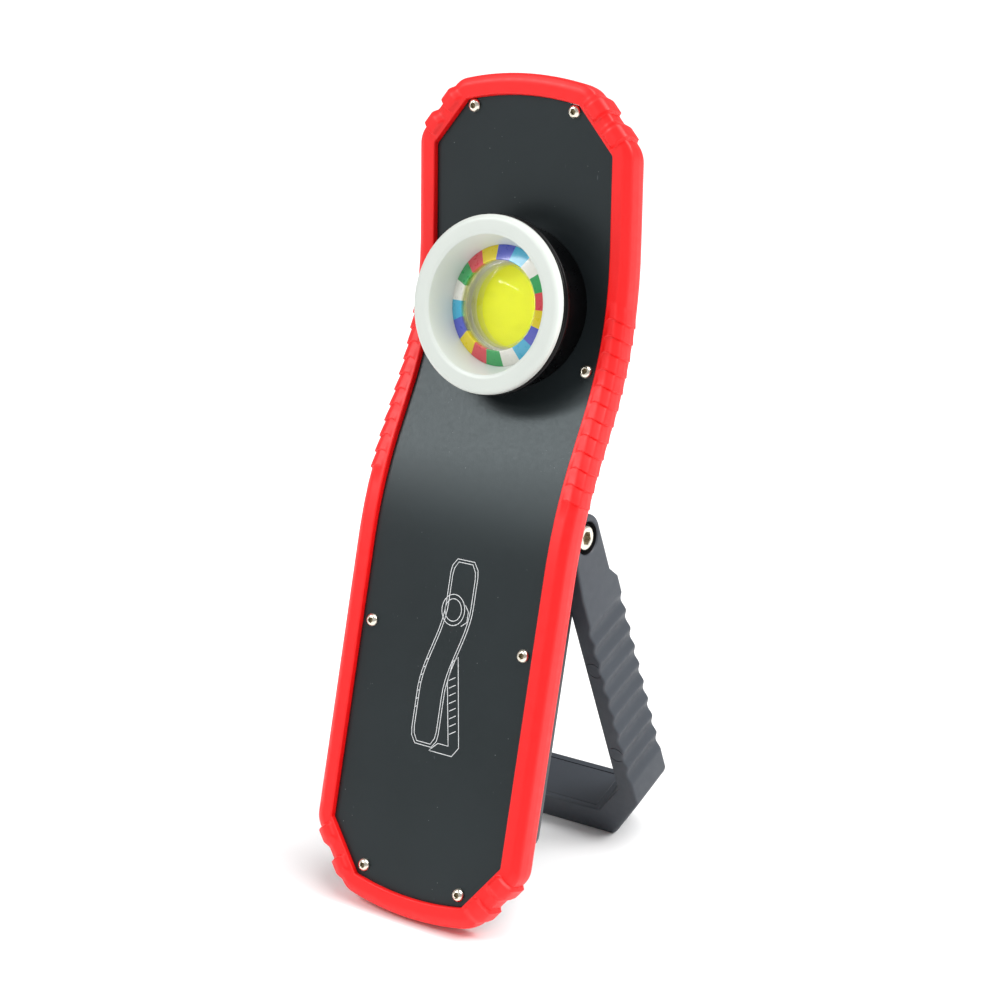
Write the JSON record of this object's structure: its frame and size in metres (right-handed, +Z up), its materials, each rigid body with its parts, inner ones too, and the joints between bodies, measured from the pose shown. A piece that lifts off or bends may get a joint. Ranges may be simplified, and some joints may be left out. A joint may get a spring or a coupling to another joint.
{
  "type": "work light",
  "caption": "S-shaped hand work light with a sliding lens head, rubber bumper frame and a folding magnetic stand, shown standing open.",
  "frame": {"origin": "middle of the bounding box's bottom face, on the floor the light stands on", "axes": "+Z up, +X to the right as seen from the front, -Y the side that the lens faces"},
  "size_m": [0.072, 0.0908, 0.227],
  "materials": {
    "panel_black": "satin black coating on aluminium sheet",
    "bumper_red": "satin bright red rubber",
    "shell_black": "fine textured black plastic",
    "screw_nickel": "bright nickel plate",
    "washer_nylon": "black nylon",
    "insert_brass": "turned brass",
    "cell_sleeve": "shrink sleeved cell",
    "contact_nickel": "nickel plated strip",
    "board_green": "solder mask green",
    "switch_black": "black plastic",
    "button_rubber": "red rubber",
    "flap_rubber": "black rubber",
    "light_pipe": "milky clear plastic",
    "wire_red": "insulated leads",
    "bezel_white": "satin white",
    "barrel_black": "semi gloss black",
    "seal_rubber": "black rubber",
    "colour_fields": "printed white, green, red, yellow, blue and cyan fields",
    "lens_clear": "polished clear",
    "holder_white": "white reflector plastic",
    "sink_aluminium": "plain turned",
    "board_white": "white solder mask on aluminium",
    "phosphor_yellow": "yellow phosphor gel",
    "stand_grey": "dark grey glass filled plastic",
    "magnet_nickel": "nickel plated magnet"
  },
  "bodies": {
    "housing": {"front_panel": "panel_black", "bumper_frame": "bumper_red", "rear_shell": "shell_black", "panel_screws": "screw_nickel", "stand_screws": "screw_nickel", "pivot_washers": "washer_nylon", "pivot_inserts": "insert_brass", "battery_cell": "cell_sleeve", "battery_contacts": "contact_nickel", "control_board": "board_green", "tact_switch": "switch_black", "usb_socket": "contact_nickel", "charge_light": "light_pipe", "led_wires": "wire_red", "battery_wires": "wire_red", "head_barrel": "barrel_black", "heat_sink": "sink_aluminium", "cob_board": "board_white", "cob_phosphor": "phosphor_yellow", "cob_screws": "screw_nickel"},
    "lens_head": {"bezel": "bezel_white", "focus_sleeve": "barrel_black", "head_o_ring": "seal_rubber", "colour_ring": "colour_fields", "lens": "lens_clear", "lens_holder": "holder_white"},
    "stand": {"stand_frame": "stand_grey", "magnet_cover": "stand_grey", "foot_magnets": "magnet_nickel"},
    "button": {"power_button": "button_rubber"},
    "flap": {"usb_cover": "flap_rubber"}
  },
  "joints": [
    {"name": "stand_hinge", "type": "hinge", "parent": "housing", "child": "stand", "pos_m": [0, 0.00374, 0.10559], "axis": [1, 0, 0], "range_deg": [-37.02, 112.98]},
    {"name": "focus_slide", "type": "slide", "parent": "housing", "child": "lens_head", "axis": [0, -0.9673, 0.2538], "range_m": [0, 0.008]},
    {"name": "button_press", "type": "slide", "parent": "housing", "child": "button", "axis": [0, -0.9472, 0.3206], "range_m": [0, 0.0006], "stiffness_N_per_m": 2500},
    {"name": "flap_hinge", "type": "hinge", "parent": "housing", "child": "flap", "pos_m": [0, 0.00606, 0.08221], "axis": [-1, 0, 0], "range_deg": [0, 130]}
  ]
}
